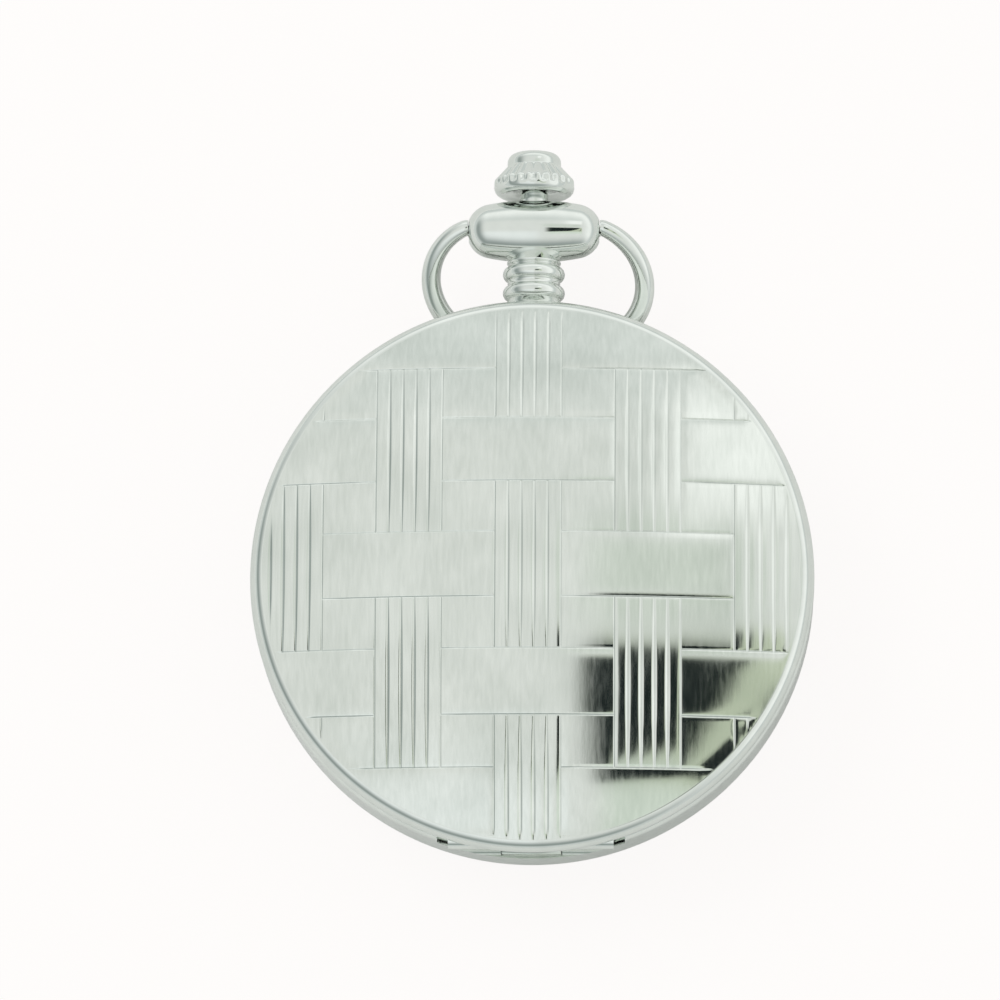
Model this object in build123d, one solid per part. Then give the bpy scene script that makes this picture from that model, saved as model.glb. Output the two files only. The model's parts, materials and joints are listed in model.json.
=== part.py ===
"""Hunter-case pocket watch: hinged front cover, bow, pendant with push-and-pull crown, quartz movement.

Millimetres. The watch lies on its back: z = 0 is the flat of the back cover, the front cover faces +Z and
the crown points along +Y. The origin is the centre of the back cover's flat.
"""

from build123d import *
from math import asin, atan2, cos, degrees, hypot, radians, sin, sqrt
import os

os.makedirs("parts", exist_ok=True)

# ---- driving dimensions: case -------------------------------------------------------------------------
case_r = 24.0             # outer radius of the case band
band_bottom = 4.2         # where the back cover meets the band
band_top = 10.75          # land that the front cover closes on
band_bore_r = 20.5        # inner radius of the band, which holds the movement ring
band_edge_r = 0.9         # rounding of the band's outer edges
back_flat_r = 8.0         # flat on which the watch lies
back_rim_r = 23.4         # outer radius of the back cover
back_wall = 0.8           # wall of the back cover
back_lip_r = 21.6         # outer radius of the back cover's snap lip
back_lip_height = 1.2     # how far the lip reaches into the band
back_lip_wall = 1.8       # radial width of the lip
back_gasket_height = 0.35
lid_r = 23.7              # outer radius of the front cover
lid_bottom = 10.8         # underside of the front cover's rim
lid_rim_height = 0.4      # straight part of the rim
lid_face_r = 23.0         # where the smooth rim ends and the domed face begins
lid_top = 15.0            # crown of the dome
lid_dome_drop = 2.95      # fall of the dome from its centre to lid_face_r
lid_wall = 0.7            # wall of the front cover
seat_r = 21.0             # outer radius of the bezel
seat_depth = 0.55         # depth of the bezel's seat below band_top
bezel_height = 1.4
crystal_r = 19.0          # radius of the crystal
crystal_edge = 0.8        # thickness of the crystal at its edge
crystal_rise = 1.2        # rise of the crystal's dome above its edge
crystal_gasket_wall = 0.35
bezel_ledge = 0.3         # ledge under the crystal, both in height and in width

# ---- driving dimensions: lid hinge ----------------------------------------------------------------------
hinge_y = -22.6
hinge_z = 10.1
knuckle_r = 0.8
lid_knuckle_half = 2.5    # half length of the front cover's knuckle
hinge_half = 7.0          # half length of the whole hinge
hinge_pin_r = 0.35
notch_half = 7.95         # half width of the notch in the band
notch_depth = 1.5         # below the hinge axis
notch_inner_y = -21.4

# ---- driving dimensions: pendant, bow and crown ----------------------------------------------------------
stem_z = 7.5              # height of the stem, the pendant and the bow's pivots
tube_r = 1.9              # pendant tube, through the band and the bead
tube_start = case_r - 1.0 # inner end of the pendant tube
sleeve_r = 1.2            # press sleeve inside the pendant tube
sleeve_bore_r = 0.75
sleeve_start = case_r - 1.25

neck_ring_r = tube_r + 0.75   # the two rounded rings on the neck
neck_waist_r = tube_r + 0.4
neck_ring_y = (case_r + 1.2, case_r + 2.85)
neck_ring_half = 0.95
collar_flange_y = case_r + 3.8   # thin flange above the rings
collar_flange_r = tube_r + 0.4
bead_y = case_r + 6.7     # centre of the bead, on the bow's axis
bead_r = 2.7
bead_half = 5.6           # half length of the bead
bead_end_r = 1.0
bead_shoulder = (4.0, 2.3)   # x and radius where the barrel turns into its rounded ends
bow_wire_r = 0.85
bow_end_x = 6.2           # where the wire turns in to its pins
bow_half_width = 9.1      # centreline of the wire at its widest
bow_widest = 4.81         # distance of the widest place from the pivots
bow_reach = 11.41         # centreline of the wire at its far end, from the pivots
bow_lean = 34.5           # degrees that the bow leans back under the case
bow_pin_r = 0.5
bow_pin_end = 4.4         # inner ends of the pins
crown_r = 3.45
crown_start = bead_y + bead_r + 0.35   # lower edge of the crown's skirt
crown_rim_y = (crown_start + 0.45, crown_start + 1.2)   # smooth rim at the full radius
crown_cap_r = 2.3
crown_cap_start = crown_start + 2.55   # where the fluted shoulder meets the cap
crown_end = crown_start + 3.75
crown_flutes = 24
sleeve_end = crown_start + 1.45
stem_end = crown_start + 3.25
crown_flute_r = 0.23
crown_bore_r = 2.6
crown_bore_end = crown_start + 1.15    # ceiling under the skirt
stem_r = 0.4
stem_start = 6.6
press_travel = 0.5        # how far the crown presses in
pull_travel = 1.0         # how far the crown pulls out to set the hands
pull_collar_y = (case_r + 4.0, case_r + 5.5)
catch_wall = 0.3
catch_r = case_r - 1.6    # mid radius of the catch spring at rest
catch_half_width = 9.0    # x of the catch spring's screw
spring_groove = (case_r - 2.3, case_r - 1.1)
spring_floor = 8.6        # floor of both spring grooves

# ---- driving dimensions: movement ------------------------------------------------------------------------
movement_r = 12.8
plate_bottom = 6.1
plate_top = 8.5
ring_bottom = band_bottom + back_lip_height
dial_bottom = 8.6
dial_thickness = 0.4
dial_r = 20.3
rehaut_bore_r = 18.4
bridge_bottom = 3.2
bridge_top = 3.8
gear_face = 0.2           # thickness of the wheels
post_r = 0.8

# ---- clearances --------------------------------------------------------------------------------------------
run_gap = 0.04            # turning and sliding fits, radial
seat_gap = 0.05           # between pieces that drop into each other
snap_gap = 0.02           # around the back cover's lip
knuckle_gap = 0.1         # between hinge knuckles
swing_gap = 0.1           # around the knuckles, for the front cover's swing

CENTRE_MIN = (Align.CENTER, Align.CENTER, Align.MIN)


# ---- plain shapes ------------------------------------------------------------------------------------------
def disc(radius, low, high, x=0.0, y=0.0):
    """Cylinder about Z."""
    return Pos(x, y, low) * Cylinder(radius, high - low, align=CENTRE_MIN)


def ring(outer, inner, low, high, x=0.0, y=0.0):
    """Ring about Z."""
    return disc(outer, low, high, x, y) - disc(inner, low - 1, high + 1, x, y)


def block(x0, x1, y0, y1, z0, z1):
    """Box between two corners."""
    return Pos((x0 + x1) / 2, (y0 + y1) / 2, (z0 + z1) / 2) * Box(x1 - x0, y1 - y0, z1 - z0)


def rod_x(radius, x0, x1, y, z):
    """Cylinder along X."""
    return Pos(x0, y, z) * Rot(0, 90, 0) * Cylinder(radius, x1 - x0, align=CENTRE_MIN)


def rod_y(radius, y0, y1, x=0.0, z=stem_z):
    """Cylinder along Y, by default on the stem's axis."""
    return Pos(x, y0, z) * Rot(-90, 0, 0) * Cylinder(radius, y1 - y0, align=CENTRE_MIN)


def turned(outline):
    """Solid turned about Z from edges drawn as (radius, height)."""
    return revolve(Plane.XZ * make_face(outline), Axis.Z)


def turned_on_stem(points):
    """Solid turned about the stem's axis from (radius, y) points."""
    face = Plane.XY * make_face(Polyline(*points, close=True))
    return Pos(0, 0, stem_z) * revolve(face, Axis.Y)


def slab(points, low, high):
    """Flat piece with a straight-sided outline."""
    return Pos(0, 0, low) * extrude(make_face(Polyline(*points, close=True)), high - low)


def polar(radius, angle):
    """Point at a radius and an angle in degrees from +X."""
    return radius * cos(radians(angle)), radius * sin(radians(angle))


def arc_strip(inner, outer, start, sweep, low, high):
    """Strip that follows the case, from one angle over a sweep, both in degrees."""
    path = [polar(outer, start + sweep * i / 12) for i in range(13)]
    back = [polar(inner, start + sweep * i / 12) for i in range(12, -1, -1)]
    return slab(path + back, low, high)


# ---- gears -------------------------------------------------------------------------------------------------
def gear(teeth, module, low, high, centre, phase):
    """Spur wheel with slender straight-flanked teeth; one tooth points at phase degrees."""
    pitch = 360 / teeth
    root = module * (teeth / 2 - 1.25)
    tip = module * (teeth / 2 + 0.85)
    points = []
    for i in range(teeth):
        middle = phase + i * pitch
        for radius, share in ((root, -0.24), (tip, -0.09), (tip, 0.09), (root, 0.24)):
            x, y = polar(radius, middle + share * pitch)
            points.append((centre[0] + x, centre[1] + y))
    return slab(points, low, high)


def mate_phase(phase, teeth, towards, mate_teeth):
    """Phase of a wheel that meshes with another one that lies on the side 'towards' faces."""
    share = ((towards - phase) * teeth / 360) % 1
    return towards + 180 + (share + 0.5) * 360 / mate_teeth


def spoked(wheel, centre, inner, outer, low, high):
    """Cuts four windows, so that the wheel keeps four arms."""
    window = ring(outer, inner, low - 1, high + 1, *centre)
    arm = 0.14 * outer
    for turn in (0, 90):
        window -= Pos(centre[0], centre[1], 0) * Rot(0, 0, turn) * block(
            -outer - 1, outer + 1, -arm, arm, low - 2, high + 2)
    return wheel - window


# ---- case --------------------------------------------------------------------------------------------------
hinge_relief = knuckle_r + swing_gap
lid_dome_r = (lid_face_r ** 2 + lid_dome_drop ** 2) / (2 * lid_dome_drop)
seat_floor = band_top - seat_depth
back_arc_r = ((back_rim_r - back_flat_r) ** 2 + band_bottom ** 2) / (2 * band_bottom)


def back_height(radius):
    """Height of the back cover's outer surface at a radius."""
    return back_arc_r - sqrt(back_arc_r ** 2 - max(radius - back_flat_r, 0.0) ** 2)


def lid_height(radius):
    """Height of the front cover's domed face at a radius."""
    return lid_top - lid_dome_r + sqrt(lid_dome_r ** 2 - radius ** 2)


def spring_grooves():
    """Grooves for the catch spring beside the pendant and the lift spring beside the hinge."""
    inner, outer = spring_groove
    catch = arc_strip(inner, outer, 62, 38, spring_floor, band_top + 1)
    catch += block(-3.2, 3.2, inner - 0.2, outer, stem_z - 1.6, band_top + 1)
    lift = arc_strip(inner, outer, 196, 50, spring_floor, band_top + 1)
    return catch + lift


def hinge_web(side):
    """Knuckle on the band, with the web that carries it; side is -1 or 1."""
    start, stop = sorted((side * (lid_knuckle_half + knuckle_gap), side * hinge_half))
    knuckle = rod_x(knuckle_r, start, stop, hinge_y, hinge_z)
    web = block(start, stop, hinge_y - 0.2, notch_inner_y + 0.1, hinge_z - notch_depth - 0.1, hinge_z)
    return knuckle + web


def case_band():
    body = ring(case_r, band_bore_r, band_bottom, band_top)
    outer = body.edges().filter_by(GeomType.CIRCLE).group_by(SortBy.RADIUS)[-1]
    body = fillet(outer, band_edge_r)
    body -= disc(back_lip_r + snap_gap, band_bottom - 1, ring_bottom + back_gasket_height)
    body -= disc(seat_r + seat_gap, seat_floor, band_top + 1)
    body -= spring_grooves()
    body -= block(-notch_half, notch_half, -case_r - 1, notch_inner_y, hinge_z - notch_depth, band_top + 1)
    body += hinge_web(-1) + hinge_web(1)
    body -= rod_x(hinge_pin_r, -hinge_half - 1, hinge_half + 1, hinge_y, hinge_z)
    body -= rod_y(tube_r, tube_start, case_r + 1)
    body -= rod_y(stem_r + 0.15, band_bore_r - 2, tube_start + 0.1)
    body -= rod_y(sleeve_r + run_gap, sleeve_start - press_travel - 0.1, tube_start + 0.1)
    body -= disc(0.28, spring_floor - 1.2, spring_floor + 0.1, *catch_screw_place())
    body -= disc(0.28, spring_floor - 1.2, spring_floor + 0.1, *lift_screw_place())
    return body


def back_cover():
    """Snap-on back: a flat, a dome out to the rim, and a lip that snaps into the band."""
    inner_flat = back_flat_r - 0.4
    inner_rim = back_lip_r - back_lip_wall
    middle = back_flat_r + (back_rim_r - back_flat_r) * 0.55
    inner_middle = (inner_flat + inner_rim) / 2
    outline = Line((0, 0), (back_flat_r, 0))
    outline += ThreePointArc((back_flat_r, 0), (middle, back_height(middle)), (back_rim_r, band_bottom))
    outline += Polyline((back_rim_r, band_bottom), (back_lip_r, band_bottom), (back_lip_r, ring_bottom),
                        (inner_rim, ring_bottom), (inner_rim, back_height(inner_rim) + back_wall))
    outline += ThreePointArc((inner_rim, back_height(inner_rim) + back_wall),
                             (inner_middle, back_height(inner_middle) + back_wall),
                             (inner_flat, back_wall))
    outline += Polyline((inner_flat, back_wall), (0, back_wall), (0, 0))
    return turned(outline)


def back_gasket():
    return ring(back_lip_r, band_bore_r + 0.2, ring_bottom, ring_bottom + back_gasket_height)


def bezel():
    body = ring(seat_r, crystal_r + crystal_gasket_wall, seat_floor, seat_floor + bezel_height)
    body += ring(seat_r, crystal_r - bezel_ledge, seat_floor, seat_floor + bezel_ledge)
    top = body.edges().filter_by(GeomType.CIRCLE).group_by(Axis.Z)[-1].group_by(SortBy.RADIUS)[-1]
    return chamfer(top, 0.4)


def crystal():
    low = seat_floor + bezel_ledge
    edge = low + crystal_edge
    dome_r = (crystal_r ** 2 + crystal_rise ** 2) / (2 * crystal_rise)
    middle = crystal_r * 0.5
    rise = crystal_rise - dome_r + sqrt(dome_r ** 2 - middle ** 2)
    outline = Polyline((0, low), (crystal_r, low), (crystal_r, edge))
    outline += ThreePointArc((crystal_r, edge), (middle, edge + rise), (0, edge + crystal_rise))
    outline += Line((0, edge + crystal_rise), (0, low))
    return turned(outline)


def crystal_gasket():
    low = seat_floor + bezel_ledge
    return ring(crystal_r + crystal_gasket_wall, crystal_r, low, low + crystal_edge)


def front_cover():
    """Domed hunter cover with a smooth rim, its hinge knuckle and the lug that the catch holds."""
    shoulder = lid_bottom + lid_rim_height
    face_z = lid_height(lid_face_r)
    inner_rim = lid_r - 0.75
    inner_r = inner_rim - 0.35
    inner_z = lid_height(inner_r) - lid_wall
    middle = lid_face_r * 0.5
    outline = ThreePointArc((0, lid_top), (middle, lid_height(middle)), (lid_face_r, face_z))
    bulge = ((lid_face_r + lid_r) / 2 + 0.12, (face_z + shoulder) / 2 + 0.12)
    outline += ThreePointArc((lid_face_r, face_z), bulge, (lid_r, shoulder))
    outline += Polyline((lid_r, shoulder), (lid_r, lid_bottom), (inner_rim, lid_bottom),
                        (inner_rim, inner_z - 0.1), (inner_r, inner_z))
    outline += ThreePointArc((inner_r, inner_z), (middle, lid_height(middle) - lid_wall),
                             (0, lid_top - lid_wall))
    outline += Line((0, lid_top - lid_wall), (0, lid_top))
    body = turned(outline)
    for side in (-1, 1):
        start, stop = sorted((side * lid_knuckle_half, side * notch_half))
        body -= rod_x(hinge_relief, start, stop, hinge_y, hinge_z)
    tail = block(-lid_knuckle_half, lid_knuckle_half, hinge_y - 0.7, hinge_y + 0.7, hinge_z, lid_bottom + 0.4)
    body += tail + rod_x(knuckle_r, -lid_knuckle_half, lid_knuckle_half, hinge_y, hinge_z)
    lug_r = catch_hook_r + seat_gap
    lug = block(-2, 2, lug_r, inner_rim + 0.2, lid_bottom, lid_bottom + 0.25)
    body += lug & disc(inner_rim + 0.2, lid_bottom, lid_bottom + 1)
    return body - rod_x(hinge_pin_r + run_gap, -hinge_half, hinge_half, hinge_y, hinge_z)


def hinge_pin():
    return rod_x(hinge_pin_r, -hinge_half, hinge_half, hinge_y, hinge_z)


# ---- catch and lift spring ----------------------------------------------------------------------------------
catch_hook_r = case_r - 1.2
spring_eye_r = 0.47


def catch_screw_place():
    return catch_half_width, sqrt(catch_r ** 2 - catch_half_width ** 2)


def lift_screw_place():
    return polar(catch_r, 199)


def catch_spring():
    """Leaf beside the pendant; the crown pushes it inwards and its nose lets the front cover go."""
    inner, outer = catch_r - catch_wall / 2, catch_r + catch_wall / 2
    start = degrees(atan2(*reversed(catch_screw_place())))
    leaf = arc_strip(inner, outer, start, 94 - start, spring_floor + 0.1, band_top - 0.15)
    tab = block(-1.6, 1.6, inner, outer, stem_z - 1.3, band_top - 0.15)
    nose = block(-1.2, 1.2, inner, outer, band_top - 0.5, lid_bottom + 0.55)
    hook = block(-1.2, 1.2, inner, catch_hook_r, lid_bottom + 0.32, lid_bottom + 0.55)
    eye = disc(spring_eye_r, spring_floor + 0.1, spring_floor + 0.6, *catch_screw_place())
    body = leaf + tab + nose + hook + eye
    body -= rod_y(stem_r + 0.25, inner - 1, outer + 1)
    body -= disc(0.28 + run_gap, spring_floor, spring_floor + 1.2, *catch_screw_place())
    return body - disc(0.6, spring_floor + 0.6, band_top + 1, *catch_screw_place())


def lift_spring():
    """Leaf beside the hinge that throws the front cover open."""
    inner, outer = catch_r - catch_wall / 2, catch_r + catch_wall / 2
    leaf = arc_strip(inner, outer, 199, 46, spring_floor + 0.05, band_top - 0.15)
    eye = disc(spring_eye_r, spring_floor, spring_floor + 0.6, *lift_screw_place())
    body = leaf + eye - disc(0.28, spring_floor - 1, spring_floor + 1, *lift_screw_place())
    return body - disc(0.6, spring_floor + 0.6, band_top + 1, *lift_screw_place())


def slotted_screw(x, y, seat, shank_r, head_r, length, up=1):
    """Cheese-head screw whose head sits on 'seat' and whose shank runs the other way by 'length'."""
    head_height = head_r * 0.75
    low, high = sorted((seat, seat + up * head_height))
    tail_low, tail_high = sorted((seat, seat - up * length))
    body = disc(head_r, low, high, x, y) + disc(shank_r, tail_low, tail_high, x, y)
    face = seat + up * head_height
    slot_low, slot_high = sorted((face - up * head_height * 0.4, face + up * 0.1))
    return body - block(x - head_r, x + head_r, y - 0.06, y + 0.06, slot_low, slot_high)


# ---- pendant, bow and crown -----------------------------------------------------------------------------------
def pendant_neck():
    """Pendant tube with two rounded rings, a thin flange and a cone under the bead."""
    core = turned_on_stem([(sleeve_r + run_gap, tube_start), (tube_r, tube_start), (tube_r, case_r + 0.02),
                           (neck_waist_r + 0.1, case_r + 0.4), (neck_waist_r, neck_ring_y[0]),
                           (neck_waist_r, neck_ring_y[1]), (neck_waist_r - 0.4, collar_flange_y),
                           (neck_waist_r, bead_y - 2.1), (tube_r, bead_y - 1.9),
                           (tube_r, bead_y + bead_r - 0.1), (sleeve_r + run_gap, bead_y + bead_r - 0.1)])
    flange = turned_on_stem([(tube_r - 0.3, collar_flange_y - 0.15), (collar_flange_r, collar_flange_y - 0.15),
                             (collar_flange_r, collar_flange_y + 0.15), (tube_r - 0.3, collar_flange_y + 0.15)])
    body = core + flange
    rounding = neck_ring_half * 0.7
    for y in neck_ring_y:
        body += Pos(0, y, stem_z) * Rot(-90, 0, 0) * Torus(neck_ring_r - rounding, rounding)
    return body - rod_y(sleeve_r + run_gap, tube_start - 1, bead_y + bead_r)


def pendant_bead():
    """Barrel on the neck; its ends carry the bow's pins."""
    shoulder_x, shoulder_r = bead_shoulder
    barrel_r = (shoulder_x ** 2 + (bead_r - shoulder_r) ** 2) / (2 * (bead_r - shoulder_r))
    slope = (cos(asin(shoulder_x / barrel_r)), shoulder_x / barrel_r)
    outline = Polyline((bead_half, bead_end_r), (bead_half, 0), (-bead_half, 0), (-bead_half, bead_end_r))
    outline += ThreePointArc((-shoulder_x, shoulder_r), (0, bead_r), (shoulder_x, shoulder_r))
    for side in (-1, 1):
        outline += TangentArc((side * shoulder_x, shoulder_r), (side * bead_half, bead_end_r),
                              tangent=(side * slope[0], -slope[1]))
    body = Pos(0, bead_y, stem_z) * revolve(make_face(outline), Axis.X)
    body -= rod_y(tube_r, bead_y - bead_r - 1, bead_y + bead_r + 1)
    body -= turned_on_stem([(0, bead_y - 3), (neck_waist_r, bead_y - 3), (neck_waist_r, bead_y - 2.1),
                            (tube_r, bead_y - 1.9), (0, bead_y - 1.9)])
    for side in (-1, 1):
        start, stop = sorted((side * (bow_pin_end - 0.1), side * (bead_half + 1)))
        body -= rod_x(bow_pin_r + run_gap, start, stop, bead_y, stem_z)
    return body


def bow_path():
    """Half of the wire's centreline: one side arc that runs into one end arc, tangent to each other."""
    span = bow_half_width - bow_end_x
    side_r = (span ** 2 + bow_widest ** 2) / (2 * span)
    side_x = bow_half_width - side_r
    drop = bow_reach - bow_widest - side_r
    offset = (side_x ** 2 - drop ** 2) / (2 * drop)
    end_y = bow_widest - offset
    end_r = bow_reach - end_y
    length = hypot(side_x, offset)
    meet = (end_r * side_x / length, end_y + end_r * offset / length)
    side = ThreePointArc((bow_end_x, 0), (bow_half_width, bow_widest), meet)
    middle = ThreePointArc(meet, (0, bow_reach), (-meet[0], meet[1]))
    other = ThreePointArc((-meet[0], meet[1]), (-bow_half_width, bow_widest), (-bow_end_x, 0))
    return Wire([side, middle, other])


def bow():
    path = bow_path()
    section = Plane(origin=path @ 0, z_dir=path % 0) * Circle(bow_wire_r)
    wire = sweep(section, path=path)
    for side in (-1, 1):
        wire += Pos(side * bow_end_x, 0, 0) * Sphere(bow_wire_r * 0.98)
        start, stop = sorted((side * bow_pin_end, side * (bow_end_x + 0.3)))
        wire += rod_x(bow_pin_r, start, stop, 0, 0)
        cut = block(*sorted((side * (bead_half + seat_gap), side * (bow_pin_end - 1))), -2, 2, -2, 2)
        wire -= cut - rod_x(bow_pin_r, -bow_end_x, bow_end_x, 0, 0)
    return Pos(0, bead_y, stem_z) * Rot(180 + bow_lean, 0, 0) * wire


def crown():
    """Fluted crown with a smaller flat cap, hollow under its skirt."""
    rim_start, rim_end = crown_rim_y
    body = turned_on_stem([(0, crown_start), (crown_r - 0.35, crown_start), (crown_r, rim_start),
                           (crown_r, rim_end), (crown_cap_r + 0.1, crown_cap_start),
                           (crown_cap_r, crown_cap_start + 0.05), (crown_cap_r, crown_end - 0.75),
                           (crown_cap_r - 0.25, crown_end - 0.25), (crown_cap_r - 0.8, crown_end),
                           (0, crown_end)])
    rise, fall = crown_cap_start - rim_end, crown_r - crown_cap_r - 0.1
    lean = degrees(atan2(fall, rise))
    flute = Rot(-90, 0, 0) * Cylinder(crown_flute_r, hypot(rise, fall) + 0.3, align=CENTRE_MIN)
    flute = Pos(crown_r + crown_flute_r * 0.45, rim_end - 0.1, 0) * Rot(0, 0, lean) * flute
    for i in range(crown_flutes):
        body -= Pos(0, 0, stem_z) * Rot(0, (i + 0.5) * 360 / crown_flutes, 0) * flute
    body -= rod_y(crown_bore_r, crown_start - 1, crown_bore_end)
    body -= rod_y(sleeve_r + seat_gap, crown_start, sleeve_end + seat_gap)
    return body - rod_y(stem_r, crown_bore_end - 1, stem_end)


def press_sleeve():
    return rod_y(sleeve_r, sleeve_start, sleeve_end) - rod_y(sleeve_bore_r, sleeve_start - 1, sleeve_end + 1)


def pull_collar():
    low, high = pull_collar_y
    return rod_y(sleeve_bore_r - run_gap, low, high) - rod_y(stem_r + run_gap, low - 1, high + 1)


setting_pin_y = 8.1


def crown_stem():
    """Stem from the crown to the movement, with two shoulders round the collar and the lever's groove."""
    low, high = pull_collar_y
    body = rod_y(stem_r, stem_start, stem_end)
    body += rod_y(sleeve_bore_r - 0.15, low - 0.4, low - 0.02)
    body += rod_y(sleeve_bore_r - 0.15, high + 0.02, high + 0.4)
    groove = rod_y(stem_r + 0.1, setting_pin_y - 0.3, setting_pin_y + press_travel + 0.3)
    return body - (groove - rod_y(stem_r * 0.55, stem_start, stem_end))


# ---- dial side --------------------------------------------------------------------------------------------------
def movement_ring():
    """Plastic ring that centres the movement in the band, with a channel for the stem."""
    body = ring(band_bore_r - seat_gap, movement_r + seat_gap, plate_bottom, dial_bottom)
    body += ring(band_bore_r - seat_gap, back_lip_r - back_lip_wall - 0.6, ring_bottom, plate_bottom)
    for i in range(12):
        x, y = polar((movement_r + band_bore_r) / 2, 15 + i * 30)
        body -= disc(1.9, plate_bottom - 1, dial_bottom - 0.8, x, y)
    body -= block(-1.1, 1.1, movement_r - 1, movement_r + 1.2, stem_z - 1.1, dial_bottom + 1)
    for i in range(2):
        x, y = polar(dial_foot_r, 30 + 180 * i)
        body -= disc(0.4, dial_bottom - 1.0, dial_bottom + 1, x, y)
    return body - rod_y(stem_r + 0.2, movement_r - 1, band_bore_r + 1)


dial_foot_r = 16.4
dial_top = dial_bottom + dial_thickness
marker_r = 15.6


def dial():
    body = disc(dial_r, dial_bottom, dial_top) - disc(hour_pipe_r + 0.15, dial_bottom - 1, dial_top + 1)
    for i in range(2):
        x, y = polar(dial_foot_r, 30 + 180 * i)
        body += disc(0.38, dial_bottom - 0.9, dial_bottom, x, y)
    return body


def hour_markers():
    """Twelve applied batons, longer at 12, 3, 6 and 9."""
    markers = []
    for i in range(12):
        length = 3.4 if i % 3 == 0 else 2.6
        baton = block(marker_r - length / 2, marker_r + length / 2, -0.3, 0.3, dial_top, dial_top + 0.2)
        markers.append(Rot(0, 0, 30 * i) * baton)
    return Compound(children=markers)


def rehaut_ring():
    """Sloping flange between the dial and the crystal."""
    outer = band_bore_r - seat_gap
    top = seat_floor
    return turned(Polyline((rehaut_bore_r, dial_top), (outer, dial_top), (outer, top), (outer - 1.4, top),
                           (rehaut_bore_r, dial_top)))


rest_hour, rest_minute, rest_second = 305.25, 63.0, 180.0   # clockwise from 12, in degrees
hour_pipe_r = 1.1
cannon_pipe_r = 0.7
centre_tube_r = 0.42
seconds_arbor_r = 0.16
hand_wall = 0.14


def hand(length, tail, width, hub_r, bore_r, low, turn, hub_height):
    """Tapered hand with its hub, pointing 'turn' degrees clockwise from 12."""
    blade = slab([(-width / 2, -tail), (width / 2, -tail), (width / 2, length * 0.72), (0, length),
                  (-width / 2, length * 0.72)], low, low + hand_wall)
    body = blade + disc(hub_r, low, low + hub_height) - disc(bore_r, low - 1, low + 2)
    return Rot(0, 0, -turn) * body


hour_hand_z = dial_top + 0.35
minute_hand_z = hour_hand_z + 0.35
second_hand_z = minute_hand_z + 0.32


def hour_hand():
    return hand(9.4, 2.0, 1.1, 1.6, hour_pipe_r, hour_hand_z, rest_hour, hand_wall)


def minute_hand():
    return hand(14.6, 2.4, 0.9, 1.2, cannon_pipe_r, minute_hand_z, rest_minute, hand_wall)


def second_hand():
    return hand(16.4, 4.6, 0.28, 0.7, seconds_arbor_r, second_hand_z, rest_second, hand_wall * 1.3)


# ---- motion work and setting work ----------------------------------------------------------------------------------
motion_floor = 7.95       # floor of the recess for the motion work
motion_module = 0.2
cannon_teeth, minute_teeth = 12, 36
minute_pinion_teeth, hour_teeth = 10, 40
setting_teeth = 18
motion_centre = motion_module * (cannon_teeth + minute_teeth) / 2
hour_module = 2 * motion_centre / (minute_pinion_teeth + hour_teeth)
minute_side = 45.0        # direction of the minute wheel from the centre
minute_place = polar(motion_centre, minute_side)
setting_side = 110.0      # direction of the setting wheel from the minute wheel
setting_reach = motion_module * (minute_teeth + setting_teeth) / 2
setting_place = tuple(a + b for a, b in zip(minute_place, polar(setting_reach, setting_side)))
minute_phase = minute_side + 180
cannon_phase = mate_phase(minute_phase, minute_teeth, minute_side + 180, cannon_teeth)
setting_phase = mate_phase(minute_phase, minute_teeth, setting_side, setting_teeth)
minute_pinion_phase = minute_side + 180
hour_phase = mate_phase(minute_pinion_phase, minute_pinion_teeth, minute_side + 180, hour_teeth)
minute_wheel_z = motion_floor + 0.05
hour_wheel_z = minute_wheel_z + gear_face + 0.06
stud_r = 0.3


def cannon_pinion():
    body = gear(cannon_teeth, motion_module, motion_floor + 0.03, minute_wheel_z + gear_face, (0, 0), cannon_phase)
    body += disc(cannon_pipe_r, motion_floor + 0.03, minute_hand_z + hand_wall)
    return body - disc(centre_tube_r + run_gap, motion_floor - 1, minute_hand_z + 1)


def minute_wheel():
    wheel = gear(minute_teeth, motion_module, minute_wheel_z, minute_wheel_z + gear_face, minute_place, minute_phase)
    wheel = spoked(wheel, minute_place, 1.3, 2.7, minute_wheel_z, minute_wheel_z + gear_face)
    wheel += gear(minute_pinion_teeth, hour_module, minute_wheel_z + gear_face, hour_wheel_z + gear_face,
                  minute_place, minute_pinion_phase)
    return wheel - disc(stud_r + run_gap, motion_floor - 1, plate_top + 1, *minute_place)


def hour_wheel():
    body = gear(hour_teeth, hour_module, hour_wheel_z, hour_wheel_z + gear_face, (0, 0), hour_phase)
    body += disc(hour_pipe_r, hour_wheel_z, hour_hand_z + hand_wall)
    return body - disc(cannon_pipe_r + run_gap, hour_wheel_z - 1, hour_hand_z + 1)


def setting_wheel():
    wheel = gear(setting_teeth, motion_module, minute_wheel_z, minute_wheel_z + gear_face, setting_place, setting_phase)
    return wheel - disc(stud_r + run_gap, motion_floor - 1, plate_top + 1, *setting_place)


def sliding_pinion():
    """Small crown-toothed pinion on the stem."""
    start = movement_r - 1.7
    body = rod_y(0.62, start, start + 0.8)
    for i in range(10):
        x, z = polar(0.66, 36 * i)
        body += rod_y(0.11, start, start + 0.8, x, stem_z + z)
    return body - rod_y(stem_r, start - 1, start + 2)


lever_pivot = (-2.5, setting_pin_y + pull_travel / 2)
lever_z = stem_z - stem_r - 0.35


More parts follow.
